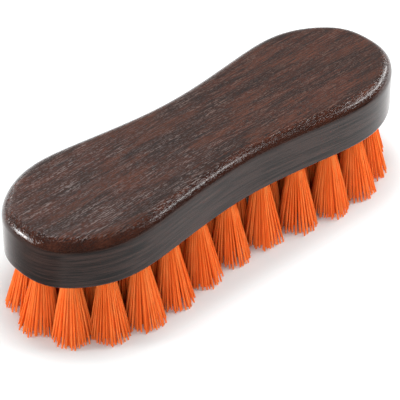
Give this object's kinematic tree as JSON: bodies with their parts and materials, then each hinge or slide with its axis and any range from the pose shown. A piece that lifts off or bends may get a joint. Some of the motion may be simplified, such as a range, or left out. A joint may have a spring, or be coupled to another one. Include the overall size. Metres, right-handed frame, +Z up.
{
  "type": "fabric cleaning brush",
  "caption": "Hand brush with a waisted, rounded wooden block and rows of flared stiff bristle tufts, for scrubbing fabric, carpet and upholstery.",
  "frame": {"origin": "under the middle of the block, on the plane of the bristle tips", "axes": "+X along the block's long side, +Y across it, +Z up from the bristle tips to the flat top of the block"},
  "size_m": [0.15, 0.05, 0.0413],
  "materials": {
    "wood": "dark walnut stain under glossy lacquer",
    "bristle": "orange nylon filament, slight sheen"
  },
  "bodies": {
    "root": {"wood_block": "wood", "outer_tuft_01": "bristle", "outer_tuft_02": "bristle", "outer_tuft_03": "bristle", "outer_tuft_04": "bristle", "outer_tuft_05": "bristle", "outer_tuft_06": "bristle", "outer_tuft_07": "bristle", "outer_tuft_08": "bristle", "outer_tuft_09": "bristle", "outer_tuft_10": "bristle", "outer_tuft_11": "bristle", "outer_tuft_12": "bristle", "outer_tuft_13": "bristle", "outer_tuft_14": "bristle", "outer_tuft_15": "bristle", "outer_tuft_16": "bristle", "outer_tuft_17": "bristle", "outer_tuft_18": "bristle", "outer_tuft_19": "bristle", "outer_tuft_20": "bristle", "outer_tuft_21": "bristle", "outer_tuft_22": "bristle", "outer_tuft_23": "bristle", "outer_tuft_24": "bristle", "outer_tuft_25": "bristle", "inner_tuft_01": "bristle", "inner_tuft_02": "bristle", "inner_tuft_03": "bristle", "inner_tuft_04": "bristle", "inner_tuft_05": "bristle", "inner_tuft_06": "bristle", "inner_tuft_07": "bristle", "inner_tuft_08": "bristle", "inner_tuft_09": "bristle", "inner_tuft_10": "bristle", "inner_tuft_11": "bristle", "inner_tuft_12": "bristle", "inner_tuft_13": "bristle", "inner_tuft_14": "bristle", "inner_tuft_15": "bristle", "inner_tuft_16": "bristle", "inner_tuft_17": "bristle", "inner_tuft_18": "bristle", "inner_tuft_19": "bristle", "inner_tuft_20": "bristle", "inner_tuft_21": "bristle", "lobe_tuft_01": "bristle", "lobe_tuft_02": "bristle", "lobe_tuft_03": "bristle", "lobe_tuft_04": "bristle"}
  },
  "joints": []
}
